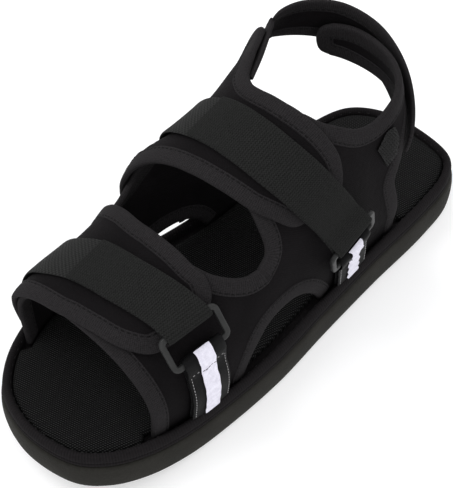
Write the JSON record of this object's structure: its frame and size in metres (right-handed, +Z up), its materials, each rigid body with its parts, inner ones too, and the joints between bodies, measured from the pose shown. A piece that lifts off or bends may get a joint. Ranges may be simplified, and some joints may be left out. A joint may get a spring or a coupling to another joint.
{
  "type": "post operative shoe",
  "caption": "Open toe and open heel recovery shoe for the left foot: soft fabric flaps close over the instep with hook and loop straps through side rings, on a flat padded sole.",
  "frame": {"origin": "middle of the sole's outline, on the ground", "axes": "+Z up, +Y towards the heel, +X towards the outer side of the left foot"},
  "size_m": [0.1104, 0.2854, 0.1299],
  "materials": {
    "sole_rubber": "matt, fine pebbled",
    "rim_fabric": "matt cover cloth",
    "insole_mesh": "open mesh weave",
    "upper_neoprene": "brushed, bound with knit tape",
    "strap_webbing": "loop pile webbing",
    "ring_plastic": "satin moulded",
    "tape_satin": "satin woven tape",
    "stripe_reflective": "smooth reflective",
    "patch_hook": "coarse hook mesh"
  },
  "bodies": {
    "root": {"outsole": "sole_rubber", "midsole": "rim_fabric", "insole": "insole_mesh", "upper": "upper_neoprene", "front_flap": "upper_neoprene", "rear_flap": "upper_neoprene", "ankle_strap": "upper_neoprene", "front_strap": "strap_webbing", "rear_strap": "strap_webbing", "front_ring": "ring_plastic", "rear_ring": "ring_plastic", "front_ring_tape": "tape_satin", "rear_ring_tape": "tape_satin", "front_stripe": "stripe_reflective", "rear_stripe": "stripe_reflective", "hook_patch": "patch_hook"}
  },
  "joints": []
}
